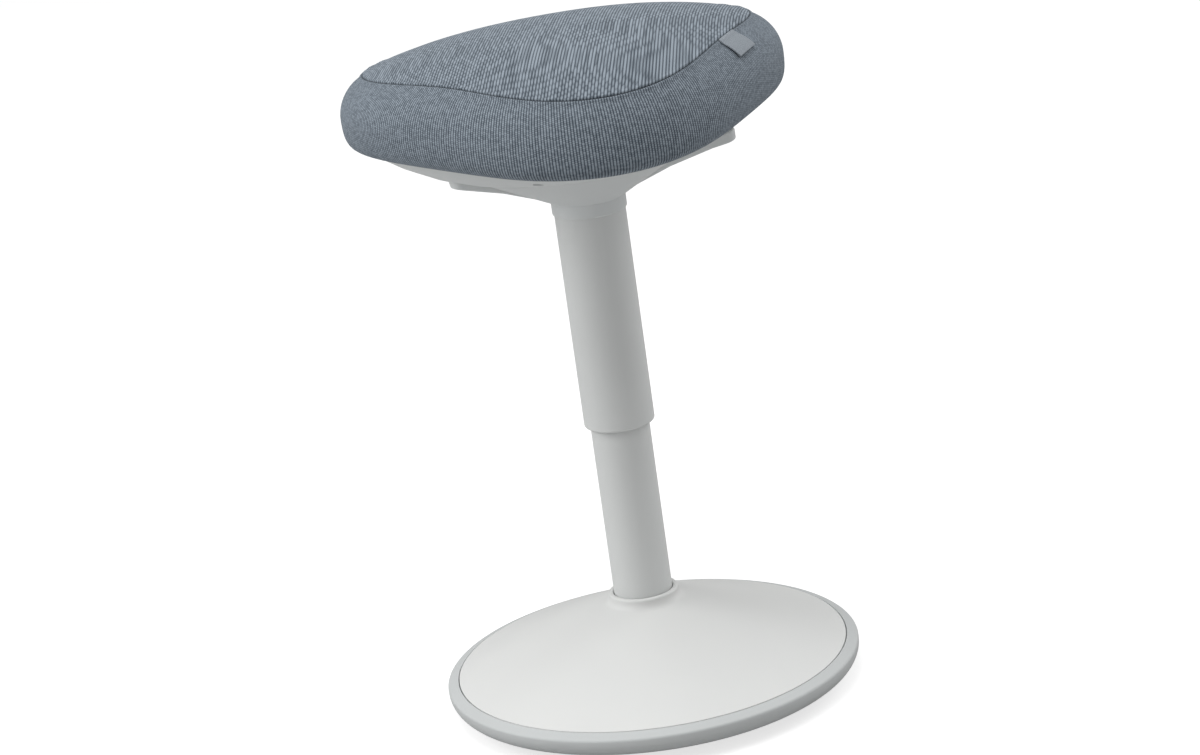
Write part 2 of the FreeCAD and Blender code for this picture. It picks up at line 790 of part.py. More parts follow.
def arc_ring(point):
    """A closed wire of equal arcs through a point given for every angle."""
    steps = [point(math.pi * k / SEAT_ARCS) for k in range(2 * SEAT_ARCS)]
    edges = []
    for k in range(0, 2 * SEAT_ARCS, 2):
        last = steps[(k + 2) % len(steps)]
        edges.append(Part.Arc(steps[k], steps[k + 1], last).toShape())
    return Part.Wire(edges)


def seam_point(angle, spread=1.0):
    """The seam between the top panel and the side band, spread out from the middle."""
    point = seat_point(angle, series(SEAM_INSET, angle), series(SEAM_HEIGHT, angle))
    centre = FreeCAD.Vector(0, SEAT_SHIFT_Y, SPLIT_APEX)
    return centre + (point - centre) * spread


def lower_side(turn, inset):
    """Quarter oval from the drawn-in bottom edge, at no turn, out to the bulge."""
    downward = max(math.cos(turn), 0.0) ** LOWER_POWER
    inward = 1 - math.sin(turn) ** LOWER_POWER

    def point(angle):
        bulge = series(BULGE_HEIGHT, angle)
        height = bulge - (bulge - inset - series(EDGE_HEIGHT, angle)) * downward
        return seat_point(angle, inset + series(EDGE_INSET, angle) * inward, height)

    return point


def upper_side(turn, inset):
    """Part of a larger oval from the bulge up to the seam, at the last turn."""
    last = math.radians(UPPER_TURNS[-1])
    inward = (1 - math.cos(turn)) / (1 - math.cos(last))
    upward = math.sin(turn) / math.sin(last)

    def point(angle):
        bulge = series(BULGE_HEIGHT, angle)
        height = bulge + (series(SEAM_HEIGHT, angle) - inset - bulge) * upward
        return seat_point(angle, inset + series(SEAM_INSET, angle) * inward, height)

    return point


def crown(share, inset):
    """Ring on the domed top, by its share of the seam's radius. The last one is flat."""
    flat = share == CROWN_SHARES[-1]

    def point(angle):
        drop = SEAT_CROWN - series(SEAM_HEIGHT, math.pi / 2 if flat else angle)
        height = SEAT_CROWN - inset - drop * share**CROWN_POWER
        return seat_point(angle, inset + series(SEAM_INSET, angle), height, share)

    return point


def cushion(inset):
    """Crowned form of the seat with drawn-in sides and a dished underside, inset all round."""
    levels = [lambda angle: seat_point(angle, PAN_INSET + PAN_OVERLAP, SEAT_BOTTOM + inset)]
    levels += [lower_side(math.radians(turn), inset) for turn in LOWER_TURNS]
    levels += [upper_side(math.radians(turn), inset) for turn in UPPER_TURNS]
    levels += [crown(share, inset) for share in CROWN_SHARES]
    return Part.makeLoft([arc_ring(level) for level in levels], True, True)


def above_seam():
    """Everything above the seam: a fan of straight lines from the middle, then up."""
    apex = Part.Vertex(FreeCAD.Vector(0, SEAT_SHIFT_Y, SPLIT_APEX))
    edge = arc_ring(lambda angle: seam_point(angle, SEAM_SPREAD))
    top = arc_ring(lambda angle: seat_point(angle, 0.0, SPLIT_TOP, SEAM_SPREAD))
    return Part.makeLoft([apex, edge, top], True, True)


def pan_top():
    return SEAT_BOTTOM + PAN_THICKNESS


def pan_blank():
    outline = arc_ring(lambda angle: seat_point(angle, PAN_INSET, SEAT_BOTTOM))
    return Part.Face(outline).extrude(UP * PAN_THICKNESS)


def seat_pan():
    """Stiff board under the foam, with spacers below and a pocket for the rocker."""
    body = pan_blank()
    low = (-POCKET_HALF_X, POCKET_Y[0], SEAT_BOTTOM)
    body = body.cut(block(low, (POCKET_HALF_X, POCKET_Y[1], SEAT_BOTTOM + POCKET_DEPTH)))
    for x, y in bolt_spots():
        body = body.fuse(disc(SPACER_RADIUS, bracket_top(), SEAT_BOTTOM, x, y))
        body = body.cut(disc(BOLT_RADIUS, bracket_top(), SEAT_BOTTOM, x, y))
        body = body.cut(disc(NUT_BARREL, SEAT_BOTTOM, pan_top() - NUT_FLANGE, x, y))
        body = body.cut(disc(NUT_RADIUS, pan_top() - NUT_FLANGE, pan_top(), x, y))
    for x, y in shell_screw_spots():
        body = body.cut(disc(SCREW_RADIUS, SEAT_BOTTOM, SHELL_HEAD_TOP + SCREW_LENGTH / 2, x, y))
    return body


def seat_foam():
    return cushion(FABRIC).cut(pan_blank())


def sewn_cover():
    """The cover's top panel and side band, parted along the seam."""
    skin = cushion(0.0).cut(cushion(FABRIC)).cut(pan_blank())
    above = above_seam()
    return skin.common(above), skin.cut(above)


def label_tab():
    """Small blank folded tab that lies on the side band, below the seam."""
    corners = []
    for angle in TAB_ANGLES:
        turn = math.radians(angle)
        top = seam_point(turn)
        outward = FreeCAD.Vector(math.sin(turn), -math.cos(turn), 0)
        corners.append((top, top + outward * TAB_OUT - UP * TAB_DROP))
    (a, b), (d, c) = corners
    normal = (c - a).cross(b - d).normalize()
    if normal.z < 0:
        normal = normal * -1
    outline = [corner - normal * normal.dot(corner - a) for corner in (a, b, c, d, a)]
    window = Part.Face(Part.makePolygon(outline))
    window.translate(normal * -TAB_REACH)
    layer = cushion(-TAB_GAP - TAB_THICKNESS).cut(cushion(-TAB_GAP))
    return layer.common(window.extrude(normal * 2 * TAB_REACH))


# Under-seat shell and lever housing


def smooth_ring(point):
    """A closed smooth curve through a point given for every angle."""
    points = [point(2 * math.pi * k / SHELL_POINTS) for k in range(SHELL_POINTS)]
    curve = Part.BSplineCurve()
    curve.interpolate(points, PeriodicFlag=True)
    return Part.Wire([curve.toShape()])


def oval_point(angle, half_x, half_y, height):
    return FreeCAD.Vector(half_x * math.sin(angle), -half_y * math.cos(angle), height)


def housing_form(inset):
    """The housing's outer form, or its hollow when inset."""
    radius = HOUSING_RADIUS - inset
    bottom = COLLAR_TOP
    foot = smooth_ring(lambda a: oval_point(a, radius, radius, bottom))
    half_x = HOUSING_X - inset
    half_y = HOUSING_Y - inset
    brow = HOUSING_TOP - HOUSING_RIM
    edge = smooth_ring(lambda a: oval_point(a, half_x, half_y, brow))
    top = smooth_ring(lambda a: oval_point(a, half_x, half_y, HOUSING_TOP))
    return Part.makeLoft([foot, edge], True).fuse(Part.makeLoft([edge, top], True, True))


def lever_windows(wall=0.0):
    """Space that both arms need, at rest and lifted, with a wall round it."""
    return both_sides(lambda tip_x: arm(tip_x, WINDOW_GAP + wall, LEVER_TRAVEL))


def lever_housing():
    """Flared cap between the collar and the shell, with a slot for each arm."""
    hollow = housing_form(SHELL_WALL)
    floor = disc(HOUSING_RADIUS, COLLAR_TOP, COLLAR_TOP + SHELL_WALL)
    body = housing_form(0.0).cut(hollow.cut(floor))
    body = body.cut(disc(COLLAR_BORE, COLLAR_TOP, COLLAR_TOP + SHELL_WALL))
    return body.cut(lever_windows())


def shell_form():
    """The shell's outer form, a dish that rises to the cushion's lower edge, and its filling."""

    def inner(angle):
        return oval_point(angle, HOUSING_X - SHELL_STEP, HOUSING_Y - SHELL_STEP, HOUSING_TOP)

    def rim(angle, lid=None):
        inset = series(EDGE_INSET, angle) + SHELL_RIM_INSET
        return seat_point(angle, inset, lid or series(EDGE_HEIGHT, angle) + SHELL_RIM_RISE)

    def dish(share):
        def point(angle):
            low, high = inner(angle), rim(angle)
            dip = (low + high) * 0.5
            dip.z = low.z + SHELL_DIP * (high.z - low.z)
            return low * (1 - share) ** 2 + dip * (2 * share * (1 - share)) + high * share**2

        return point

    levels = [inner] + [dish(share) for share in SHELL_STEPS] + [rim]
    rings = [smooth_ring(level) for level in levels]
    rings.append(smooth_ring(lambda angle: rim(angle, SHELL_LID)))
    return Part.makeLoft(rings, True, True)


def shell_screw_spots():
    for degrees in SHELL_SCREW_ANGLES:
        point = seat_point(math.radians(degrees), SHELL_SCREW_INSET, 0.0)
        yield point.x, point.y


def seat_shell():
    """Thin dish under the cushion, with four screw bosses and a recess over each arm."""
    filled = shell_form().cut(cushion(0.0)).cut(pan_blank())
    hollow = shell_form()
    hollow.translate(UP * SHELL_WALL)
    opening_x = HOUSING_X - SHELL_STEP - SHELL_OPENING
    opening_y = HOUSING_Y - SHELL_STEP - SHELL_OPENING
    opening = Part.Face(smooth_ring(lambda a: oval_point(a, opening_x, opening_y, HOUSING_TOP)))
    body = filled.cut(hollow).fuse(lever_windows(RECESS_WALL).common(filled))
    body = body.cut(opening.extrude(UP * SHELL_WALL))
    for x, y in shell_screw_spots():
        body = body.fuse(disc(SHELL_BOSS_RADIUS, HOUSING_TOP, SEAT_BOTTOM, x, y).common(filled))
    for x, y in shell_screw_spots():
        body = body.cut(disc(SCREW_RADIUS, HOUSING_TOP, SEAT_BOTTOM, x, y))
        recess = SCREW_HEAD_RADIUS + SCREW_CLEARANCE
        body = body.cut(disc(recess, HOUSING_TOP, SHELL_HEAD_TOP, x, y))
    return body.cut(lever_windows())


def shell_screws():
    solids = []
    for x, y in shell_screw_spots():
        head = disc(SCREW_HEAD_RADIUS, SHELL_HEAD_TOP - SCREW_HEAD_HEIGHT, SHELL_HEAD_TOP, x, y)
        shank = disc(SCREW_RADIUS, SHELL_HEAD_TOP, SHELL_HEAD_TOP + SCREW_LENGTH / 2, x, y)
        solids.append(head.fuse(shank))
    return group(solids)


def main():
    os.makedirs("parts", exist_ok=True)
    pieces = (
        base_sole,
        base_tray,
        base_ring,
        base_weight,
        base_cover,
        cover_screws,
        base_flange,
        flange_bolts,
        lower_tube,
        tube_floor,
        guide_bush,
        lower_race,
        bearing_cage,
        bearing_balls,
        upper_race,
        piston_rod,
        piston,
        bump_stop,
        rod_clip,
        clip_washer,
        gas_cylinder,
        cylinder_gland,
        valve_button,
        sleeve,
        sleeve_collar,
        seat_bracket,
        rocker_pin,
        valve_rocker,
        release_lever,
        lever_housing,
        pan_bolts,
        tee_nuts,
        seat_pan,
        seat_shell,
        shell_screws,
        seat_foam,
        label_tab,
    )
    for piece in pieces:
        save(piece.__name__, piece())
    top, side = sewn_cover()
    save("cover_top", top)
    save("cover_side", side)


main()
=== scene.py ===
import json
import math

import bpy
import numpy as np
from mathutils import Matrix, Vector


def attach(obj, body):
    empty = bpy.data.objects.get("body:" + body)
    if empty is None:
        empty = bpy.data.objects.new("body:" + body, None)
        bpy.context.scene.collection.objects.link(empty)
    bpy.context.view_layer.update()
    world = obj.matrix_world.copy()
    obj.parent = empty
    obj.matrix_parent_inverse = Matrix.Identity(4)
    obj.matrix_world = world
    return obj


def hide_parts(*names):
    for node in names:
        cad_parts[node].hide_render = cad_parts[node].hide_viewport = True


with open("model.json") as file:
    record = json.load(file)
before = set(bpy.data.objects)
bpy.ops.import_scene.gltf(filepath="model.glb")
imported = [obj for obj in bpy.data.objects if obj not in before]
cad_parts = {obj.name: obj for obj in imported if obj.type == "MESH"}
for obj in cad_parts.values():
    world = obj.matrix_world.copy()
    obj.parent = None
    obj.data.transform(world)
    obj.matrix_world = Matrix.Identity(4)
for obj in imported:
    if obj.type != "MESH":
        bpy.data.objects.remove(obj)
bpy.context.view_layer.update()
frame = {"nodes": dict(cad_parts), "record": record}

# Wobble stool: white moulded base and column, bean-shaped seat in ribbed knit.
# Lengths are in metres.
MM = 0.001

# Seat form: every size round the plan is a short cosine series of the angle from the nose
SEAT_PLAN = (0.1788, -0.0245, 0.0, 0.0124, -0.0006)
SEAT_SHIFT_Y = -0.0056
SEAM_HEIGHT = (0.5602, 0.0049, -0.0056, -0.0024)
SEAM_INSET = (0.0216, 0.0029, -0.0041)
BULGE_HEIGHT = (0.5196, -0.0012, -0.0082, -0.0010)
SEAT_BOTTOM = 0.4890
SEAT_CROWN = 0.5837
EDGE_INSET = (0.0230, 0.0080, 0.0090)
EDGE_HEIGHT = (0.4979, 0.0, -0.0055)
PAN_EDGE = 0.0530
LOWER_POWER = 0.63
# The cover stands a few millimetres fuller than the foam between seam and crown
CROWN_POWER = 2.4
SEAM_TURN = math.radians(60)

# Cushion mesh
ROUND = 144
UNDER_ROWS = 5
LOWER_ROWS = 11
UPPER_ROWS = 10
CROWN_ROWS = 24
SEAM_ROW = UNDER_ROWS + LOWER_ROWS + UPPER_ROWS - 2
SLACK = 2.0 * MM
SWELL_LIMIT = 3.0 * MM
HELD_FADE = 14.0 * MM
CLOTH = {
    "quality": 6,
    "mass": 0.2,
    "tension_stiffness": 30,
    "compression_stiffness": 30,
    "shear_stiffness": 10,
    "bending_stiffness": 2,
    "use_pressure": True,
    "uniform_pressure_force": 4.0,
}
LAST_FRAME = 20
FINER = 6
FINE_STEP = 2.6 * MM
FAR_START = FINE_STEP * 0.8
FAR_END = FINE_STEP * 0.4
NEAR_SEAM = (0.35, 0.7, 1.1, 1.6, 2.2, 3.0, 4.2)

# Cover fabric: the ribs are drawn a little coarser than they are, to be seen one by one
RIB_PITCH = 2.5 * MM
STITCH_PITCH = 1.5 * MM
RIB_TURN = math.radians(-17.8)
RIB_TILT = math.radians(-6.0)
FLAT_LIMIT = 0.35
SOLVER_STEPS = 500
SOLVED = 1e-16
RIB_COLOUR = "#949EA8"
# Painted shade: the colour of the grooves between the ribs, darker in place of their shadow
GROOVE_SHADE_COLOUR = "#3E4750"
# Painted shade: a dark band along the seam groove, in place of the groove's shadow
SEAM_SHADE_COLOUR = "#22282E"

# Seam
SEAM_DEPTH = 1.6 * MM
# Width of the band of painted shade along the seam
SEAM_SHADE_WIDTH = 0.7 * MM
SEAM_WIDTH = 0.75 * MM
SHOULDER = 0.4 * MM
SHOULDER_AT = 2.2 * MM
SHOULDER_WIDTH = 1.0 * MM
GATHER = 0.10 * MM
GATHERS = 270
GATHER_REACH = 5.0 * MM
PUCKER = 0.45 * MM
PUCKER_REACH = 16.0 * MM
# Waves round the seat, each with its start, so that no two puckers are alike
SLOW_WAVES = ((23, 0.4), (31, 2.1), (37, 4.4), (47, 1.3))
SHOULDER_CHANGE = 0.4

# Tab in the seam
TAB_ANGLES = (57.3, 70.3)
TAB_LENGTH = 23.0 * MM
TAB_THICKNESS = 0.9 * MM
TAB_NEAR = 0.35 * MM
TAB_LIFT = 1.9 * MM
TAB_ROWS = 12
TAB_FOLD = 5
TAB_CURL = 1.5
TAB_SLANT = 0.45

# Stretch of the lines on worked metal
LENGTHWISE = (14.0, 14.0, 1.0)
ROUNDWISE = (1.0, 1.0, 14.0)
EVEN = (1.0, 1.0, 1.0)

# Camera: the photograph's view of the stool
CAMERA_DISTANCE = 3.126656
CAMERA_HEIGHT = 1.272219
CAMERA_PITCH = 0.3065815
CAMERA_YAW = -0.0035745
CAMERA_ROLL = -0.1409705
CAMERA_ROUND = math.radians(-10.415346)
CAMERA_LENS = 117.29
CAMERA_SENSOR = 36
CAMERA_REACH = 100

# Light and floor
WORLD_LEVEL = 0.46
LAMP_SIZE = 1.8
LAMPS = (
    ("left", (-2.4, 0.2, 1.7), (0, 0, 0.3), 34),
    ("right", (2.4, 0.7, 1.7), (0, 0, 0.3), 24),
    ("overhead", (-0.4, -0.9, 3.1), (0, 0, 0.2), 34),
)
FLOOR_SIDE = 24
FLOOR_HEIGHT = -0.3 * MM
FLOOR_TONE = (0.48, 0.48, 0.48, 1)
FLOOR_LEVEL = 0.72


def plain_colour(hexa):
    """sRGB hex as the linear colour that a socket takes."""
    parts = [int(hexa[k : k + 2], 16) / 255 for k in (1, 3, 5)]
    linear = [c / 12.92 if c <= 0.04045 else ((c + 0.055) / 1.055) ** 2.4 for c in parts]
    return (*linear, 1.0)


def add(tree, kind, inputs=None, **settings):
    """Adds one node, with its settings, its plain values and its links."""
    node = tree.nodes.new(kind)
    for name, value in settings.items():
        setattr(node, name, value)
    for name, value in (inputs or {}).items():
        if isinstance(value, bpy.types.Node):
            value = next(socket for socket in value.outputs if socket.enabled)
        if isinstance(value, bpy.types.NodeSocket):
            tree.links.new(value, node.inputs[name])
        else:
            node.inputs[name].default_value = value
    return node


def new_material(name):
    material = bpy.data.materials.new(name)
    material.use_nodes = True
    material.node_tree.nodes.clear()
    return material, material.node_tree


def close_material(tree, shader):
    add(tree, "ShaderNodeOutputMaterial", {"Surface": shader})


# Materials


def moulded(name, colour, shade, roughness, grain, depth):
    """Moulded or sprayed surface: satin, with a fine even grain and a faint change of tone."""
    material, tree = new_material(name)
    place = add(tree, "ShaderNodeTexCoord").outputs["Object"]
    spark = add(
        tree,
        "ShaderNodeTexNoise",
        {"Vector": place, "Scale": 1 / grain, "Detail": 3.0, "Roughness": 0.6},
    )
    cloud = add(
        tree, "ShaderNodeTexNoise", {"Vector": place, "Scale": 1 / (90 * MM), "Detail": 2.0}
    )
    tone = add(
        tree,
        "ShaderNodeMix",
        {"Factor": cloud, "A": plain_colour(colour), "B": plain_colour(shade)},
        data_type="RGBA",
    )
    rough = add(
        tree,
        "ShaderNodeMapRange",
        {"Value": spark, "To Min": roughness - 0.06, "To Max": roughness + 0.06},
    )
    bump = add(tree, "ShaderNodeBump", {"Height": spark, "Strength": 1.0, "Distance": depth})
    shader = add(
        tree,
        "ShaderNodeBsdfPrincipled",
        {"Base Color": tone, "Roughness": rough, "IOR": 1.49, "Normal": bump},
    )
    close_material(tree, shader)
    return material


def worked_metal(name, colour, shade, roughness, stretch, grain, depth):
    """Turned, ground or plated metal: fine lines along one direction over a bright body."""
    material, tree = new_material(name)
    place = add(tree, "ShaderNodeTexCoord").outputs["Object"]
    drawn = add(tree, "ShaderNodeMapping", {"Vector": place, "Scale": stretch})
    lines = add(
        tree, "ShaderNodeTexNoise", {"Vector": drawn, "Scale": 1 / grain, "Detail": 4.0}
    )
    tone = add(
        tree,
        "ShaderNodeMix",
        {"Factor": lines, "A": plain_colour(colour), "B": plain_colour(shade)},
        data_type="RGBA",
    )
    rough = add(
        tree,
        "ShaderNodeMapRange",
        {"Value": lines, "To Min": roughness - 0.05, "To Max": roughness + 0.08},
    )
    bump = add(tree, "ShaderNodeBump", {"Height": lines, "Strength": 1.0, "Distance": depth})
    shader = add(
        tree,
        "ShaderNodeBsdfPrincipled",
        {"Base Color": tone, "Roughness": rough, "Metallic": 1.0, "Normal": bump},
    )
    close_material(tree, shader)
    return material


def rubber():
    """Compression moulded rubber: near black, with fine ribs round the middle for grip."""
    material, tree = new_material("black_ribbed_rubber")
    place = add(tree, "ShaderNodeTexCoord").outputs["Object"]
    rings = add(
        tree,
        "ShaderNodeTexWave",
        {"Vector": place, "Scale": 1 / (20 * MM), "Distortion": 0.0},
        wave_type="RINGS",
        rings_direction="Z",
    )
    dust = add(tree, "ShaderNodeTexNoise", {"Vector": place, "Scale": 1 / (2 * MM), "Detail": 5.0})
    tone = add(
        tree,
        "ShaderNodeMix",
        {"Factor": dust, "A": plain_colour("#2B2C2D"), "B": plain_colour("#3A3B3C")},
        data_type="RGBA",
    )
    bump = add(tree, "ShaderNodeBump", {"Height": rings, "Strength": 0.8, "Distance": 0.6 * MM})
    grain = add(
        tree,
        "ShaderNodeBump",
        {"Height": dust, "Strength": 0.5, "Distance": 0.1 * MM, "Normal": bump},
    )
    shader = add(
        tree, "ShaderNodeBsdfPrincipled", {"Base Color": tone, "Roughness": 0.85, "Normal": grain}
    )
    close_material(tree, shader)
    return material


def plywood():
    """Pressed beech plywood: long soft grain with short darker pores."""
    material, tree = new_material("pressed_beech_plywood")
    place = add(tree, "ShaderNodeTexCoord").outputs["Object"]
    drawn = add(tree, "ShaderNodeMapping", {"Vector": place, "Scale": (12.0, 1.0, 12.0)})
    grain = add(
        tree,
        "ShaderNodeTexNoise",
        {"Vector": drawn, "Scale": 1 / (60 * MM), "Detail": 6.0, "Distortion": 0.6},
    )
    tone = add(
        tree,
        "ShaderNodeMix",
        {"Factor": grain, "A": plain_colour("#C9A77C"), "B": plain_colour("#A98457")},
        data_type="RGBA",
    )
    bump = add(tree, "ShaderNodeBump", {"Height": grain, "Strength": 0.6, "Distance": 0.2 * MM})
    shader = add(
        tree, "ShaderNodeBsdfPrincipled", {"Base Color": tone, "Roughness": 0.6, "Normal": bump}
    )
    close_material(tree, shader)
    return material


def cut_foam():
    """Polyurethane foam from a mould: pale, with open cells of about a millimetre."""
    material, tree = new_material("open_cell_foam")
    place = add(tree, "ShaderNodeTexCoord").outputs["Object"]
    cells = add(tree, "ShaderNodeTexVoronoi", {"Vector": place, "Scale": 1 / (1.2 * MM)})
    tone = add(
        tree,
        "ShaderNodeMix",
        {"Factor": cells, "A": plain_colour("#B7AE97"), "B": plain_colour("#DDD6C3")},
        data_type="RGBA",
    )
    bump = add(tree, "ShaderNodeBump", {"Height": cells, "Strength": 0.8, "Distance": 0.4 * MM})
    shader = add(
        tree, "ShaderNodeBsdfPrincipled", {"Base Color": tone, "Roughness": 0.95, "Normal": bump}
    )
    close_material(tree, shader)
    return material


def ribbed_knit():
    """Warp-knitted cover: light ribs of small stitches, with painted shade colouring the grooves
    between them and the dips between stitches darker.

    The ribs run along the map's second direction and are spaced along its first,
    both in metres, so that the pitch is the same all over the cushion.
    """
    material, tree = new_material("ribbed_polyester_knit")
    weave = add(tree, "ShaderNodeUVMap", uv_map="weave")
    wander = add(tree, "ShaderNodeTexNoise", {"Vector": weave, "Scale": 1 / (7 * MM)})
    part = add(tree, "ShaderNodeSeparateXYZ", {"Vector": weave})
    drift = add(
        tree,
        "ShaderNodeMath",
        {0: wander, 1: 0.35 * MM, 2: part.outputs["X"]},
        operation="MULTIPLY_ADD",
    )
    rib = add(tree, "ShaderNodeMath", {0: drift, 1: RIB_PITCH}, operation="DIVIDE")
    number = add(tree, "ShaderNodeMath", {0: rib}, operation="FLOOR")
    across = add(tree, "ShaderNodeMath", {0: rib}, operation="FRACT")
    half_step = add(tree, "ShaderNodeMath", {0: number, 1: 0.5}, operation="MULTIPLY")
    along = add(
        tree,
        "ShaderNodeMath",
        {0: part.outputs["Y"], 1: 1 / STITCH_PITCH, 2: half_step},
        operation="MULTIPLY_ADD",
    )
    stitch_number = add(tree, "ShaderNodeMath", {0: along}, operation="FLOOR")
    stitch = add(tree, "ShaderNodeMath", {0: along}, operation="FRACT")
    # A rib is a rounded ridge: one arch of a sine over its pitch
    half_turn = add(tree, "ShaderNodeMath", {0: across, 1: math.pi}, operation="MULTIPLY")
    ridge = add(tree, "ShaderNodeMath", {0: half_turn}, operation="SINE")
    bead_turn = add(tree, "ShaderNodeMath", {0: stitch, 1: math.pi}, operation="MULTIPLY")
    bead = add(tree, "ShaderNodeMath", {0: bead_turn}, operation="SINE")
    softer = add(
        tree, "ShaderNodeMath", {0: bead, 1: 0.45, 2: 0.55}, operation="MULTIPLY_ADD"
    )
    height = add(tree, "ShaderNodeMath", {0: ridge, 1: softer}, operation="MULTIPLY")
    place = add(tree, "ShaderNodeCombineXYZ", {"X": number, "Y": stitch_number})
    yarn = add(tree, "ShaderNodeTexWhiteNoise", {"Vector": place}, noise_dimensions="2D")
    uneven = add(
        tree,
        "ShaderNodeMath",
        {0: yarn.outputs["Value"], 1: 0.34, 2: -0.17},
        operation="MULTIPLY_ADD",
    )
    # The colour follows rib height, so it is painted shade in the grooves and between stitches,
    # plus the yarn's own random tone
    shade_and_mottle = add(tree, "ShaderNodeMath", {0: height, 1: uneven}, operation="ADD")
    tone = add(tree, "ShaderNodeValToRGB", {"Fac": shade_and_mottle})
    tone.color_ramp.elements[0].position = 0.18
    tone.color_ramp.elements[0].color = plain_colour(GROOVE_SHADE_COLOUR)
    tone.color_ramp.elements[1].position = 0.95
    tone.color_ramp.elements[1].color = plain_colour(RIB_COLOUR)
    # Painted shade along the seam darkens the knit's colour there
    seam_shade = add(tree, "ShaderNodeAttribute", attribute_name="seam_shade")
    seam_shaded_tone = add(
        tree,
        "ShaderNodeMix",
        {
            "Factor": seam_shade.outputs["Fac"],
            "A": tone.outputs["Color"],
            "B": plain_colour(SEAM_SHADE_COLOUR),
        },
        data_type="RGBA",
    )
    bump = add(
        tree, "ShaderNodeBump", {"Height": height, "Strength": 0.8, "Distance": 0.35 * MM}
    )
    shader = add(
        tree,
        "ShaderNodeBsdfPrincipled",
        {
            "Base Color": seam_shaded_tone,
            "Roughness": 0.88,
            "Specular IOR Level": 0.25,
            "Sheen Weight": 0.22,
            "Sheen Roughness": 0.45,
            "Sheen Tint": plain_colour("#C8D2DC"),
            "Normal": bump,
        },
    )
    close_material(tree, shader)
    return material


def plain_ribbon():
    """Plain-weave ribbon: threads of 0.6 mm over and under, drawn a little coarse to be seen."""
    material, tree = new_material("plain_weave_ribbon")
    weave = add(tree, "ShaderNodeUVMap", uv_map="weave")
    check = add(
        tree,
        "ShaderNodeTexChecker",
        {
            "Vector": weave,
            "Scale": 1 / (0.6 * MM),
            "Color1": plain_colour("#98A0A8"),
            "Color2": plain_colour("#7A828A"),
        },
    )
    bump = add(
        tree,
        "ShaderNodeBump",
        {"Height": check.outputs["Fac"], "Strength": 0.6, "Distance": 0.12 * MM},
    )
    shader = add(
        tree,
        "ShaderNodeBsdfPrincipled",
        {
            "Base Color": check.outputs["Color"],
            "Roughness": 0.8,
            "Sheen Weight": 0.15,
            "Normal": bump,
        },
    )
    close_material(tree, shader)
    return material


MATERIALS = {
    # Spark-eroded tool, matt white
    "moulded_cover": moulded(
        "spark_textured_polypropylene", "#E2E3E1", "#DDDEDD", 0.5, 0.5 * MM, 0.02 * MM
    ),
    # Softer and greyer than the cover, from its own tool
    "soft_rim": moulded("soft_touch_elastomer", "#C9CCCC", "#C4C7C7", 0.62, 0.6 * MM, 0.02 * MM),
    # Sprayed powder that flowed into a slight orange peel
    "coated_tube": moulded("powder_coated_steel", "#DADCDB", "#D6D8D7", 0.4, 1.6 * MM, 0.03 * MM),
    "moulded_housing": moulded(
        "satin_moulded_nylon", "#DCDFDF", "#D8DBDB", 0.45, 0.5 * MM, 0.02 * MM
    ),
    "moulded_lever": moulded(
        "satin_moulded_lever_nylon", "#DEE1E1", "#DADDDD", 0.4, 0.5 * MM, 0.02 * MM
    ),
    "moulded_tray": moulded(
        "recycled_polypropylene_tray", "#7C7F81", "#74777A", 0.6, 0.8 * MM, 0.03 * MM
    ),
    # Sand-cast and dipped in black paint
    "cast_weight": moulded("painted_cast_iron", "#353536", "#2B2B2D", 0.7, 2.5 * MM, 0.2 * MM),
    "black_cylinder": moulded(
        "black_enamelled_steel", "#1D1D1F", "#19191B", 0.35, 1.2 * MM, 0.02 * MM
    ),
    "bush_plastic": moulded("natural_acetal", "#E4E1D6", "#DEDACE", 0.4, 1.0 * MM, 0.02 * MM),
    "plain_steel": worked_metal(
        "zinc_plated_pressed_steel", "#B4B7B9", "#9EA1A4", 0.36, EVEN, 1.4 * MM, 0.02 * MM
    ),
    "zinc_fastener": worked_metal(
        "turned_zinc_plated_fastener", "#C6C7C4", "#ADAFAC", 0.3, ROUNDWISE, 1.2 * MM, 0.02 * MM
    ),
    "bearing_steel": worked_metal(
        "ground_bearing_steel", "#C4C5C8", "#B8B9BD", 0.16, ROUNDWISE, 1.0 * MM, 0.005 * MM
    ),
    "chromed_rod": worked_metal(
        "ground_chromed_rod", "#D6D7DA", "#CCCDD1", 0.12, LENGTHWISE, 1.6 * MM, 0.004 * MM
    ),
    "rubber_sole": rubber(),
    "seat_board": plywood(),
    "foam": cut_foam(),
    "seat_fabric": ribbed_knit(),
    "label_textile": plain_ribbon(),
}


# Cushion form


def plan_point(angles, inset, height, share=1.0):
    radius = share * (series(SEAT_PLAN, angles) - inset)
    across = radius * np.sin(angles)
    along = SEAT_SHIFT_Y - radius * np.cos(angles)
    return np.stack([across, along, height + 0 * angles], -1)


def series(terms, angles):
    return sum(size * np.cos(order * angles) for order, size in enumerate(terms))


def under_ring(angles, share):
    """Dished underside, from the pan's edge out to the cushion's lower edge."""
    inset = PAN_EDGE + share * (series(EDGE_INSET, angles) - PAN_EDGE)
    height = SEAT_BOTTOM + share * (series(EDGE_HEIGHT, angles) - SEAT_BOTTOM)
    return plan_point(angles, inset, height)


def lower_ring(angles, turn):
    """Squarish quarter oval from the lower edge out to the bulge, at even steps of turn."""
    rise = math.sin(turn) ** (1 / LOWER_POWER)
    run = max(math.cos(turn), 0.0) ** (1 / LOWER_POWER)
    even = math.atan2(rise, run)
    bulge = series(BULGE_HEIGHT, angles)
    downward = max(math.cos(even), 0.0) ** LOWER_POWER
    inward = 1 - math.sin(even) ** LOWER_POWER
    height = bulge - (bulge - series(EDGE_HEIGHT, angles)) * downward
    return plan_point(angles, series(EDGE_INSET, angles) * inward, height)


